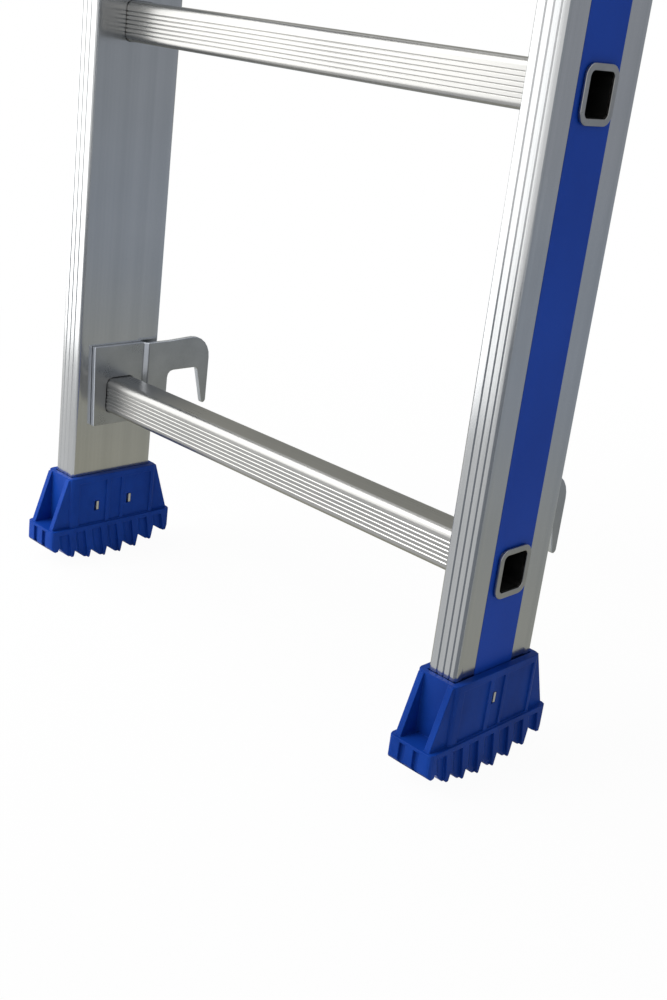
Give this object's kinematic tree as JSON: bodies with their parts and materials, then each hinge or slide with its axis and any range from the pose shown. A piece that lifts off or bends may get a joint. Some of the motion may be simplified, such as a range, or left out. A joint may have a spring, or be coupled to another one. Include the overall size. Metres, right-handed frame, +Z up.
{
  "type": "extension ladder",
  "caption": "Push-up extension ladder: a wide base section on toothed blue feet and a narrower fly section that slides in front of it and hooks over its rungs.",
  "frame": {"origin": "on the floor, midway between the two feet, on the centre plane of the base section's stiles", "axes": "+Z up along the stiles, +Y towards the wall (the side of the hooks), +X to the right for someone who faces the wall"},
  "size_m": [0.4332, 0.1945, 2.7945],
  "materials": {
    "aluminium": "mill-finished extrusion, semi-gloss along its length",
    "bright_aluminium": "bright extrusion with fine grooves on its front",
    "zinc_plated_steel": "satin zinc plating",
    "blue_plastic": "moulded, satin",
    "blue_film": "smooth printed film, plain",
    "black_plastic": "moulded, matt"
  },
  "bodies": {
    "base": {"base_band_left": "blue_film", "base_band_right": "blue_film", "base_foot_left": "blue_plastic", "base_foot_right": "blue_plastic", "base_hook_left": "zinc_plated_steel", "base_hook_right": "zinc_plated_steel", "base_rung_01": "bright_aluminium", "base_rung_02": "bright_aluminium", "base_rung_03": "bright_aluminium", "base_rung_04": "bright_aluminium", "base_rung_05": "bright_aluminium", "base_rung_06": "bright_aluminium", "base_rung_07": "bright_aluminium", "base_rung_08": "bright_aluminium", "base_stile_left": "aluminium", "base_stile_right": "aluminium", "base_top_cap_left": "blue_plastic", "base_top_cap_right": "blue_plastic", "foot_pin_left_1": "zinc_plated_steel", "foot_pin_left_2": "zinc_plated_steel", "foot_pin_left_3": "zinc_plated_steel", "foot_pin_right_1": "zinc_plated_steel", "foot_pin_right_2": "zinc_plated_steel", "foot_pin_right_3": "zinc_plated_steel", "glide_pad_left": "black_plastic", "glide_pad_right": "black_plastic", "guide_claw_left": "zinc_plated_steel", "guide_claw_right": "zinc_plated_steel", "guide_rivet_left_1": "zinc_plated_steel", "guide_rivet_left_2": "zinc_plated_steel", "guide_rivet_right_1": "zinc_plated_steel", "guide_rivet_right_2": "zinc_plated_steel"},
    "fly": {"block_screw_left_1": "zinc_plated_steel", "block_screw_left_2": "zinc_plated_steel", "block_screw_right_1": "zinc_plated_steel", "block_screw_right_2": "zinc_plated_steel", "fly_band_left": "blue_film", "fly_band_right": "blue_film", "fly_bottom_cap_left": "blue_plastic", "fly_bottom_cap_right": "blue_plastic", "fly_hook_left": "zinc_plated_steel", "fly_hook_right": "zinc_plated_steel", "fly_rung_01": "bright_aluminium", "fly_rung_02": "bright_aluminium", "fly_rung_03": "bright_aluminium", "fly_rung_04": "bright_aluminium", "fly_rung_05": "bright_aluminium", "fly_rung_06": "bright_aluminium", "fly_rung_07": "bright_aluminium", "fly_rung_08": "bright_aluminium", "fly_stile_left": "aluminium", "fly_stile_right": "aluminium", "fly_top_cap_left": "blue_plastic", "fly_top_cap_right": "blue_plastic", "slide_block_left": "black_plastic", "slide_block_right": "black_plastic"}
  },
  "joints": [
    {"name": "fly_slide", "type": "slide", "parent": "base", "child": "fly", "axis": [0, 0, 1], "range_m": [-0.28, 0.84]}
  ]
}
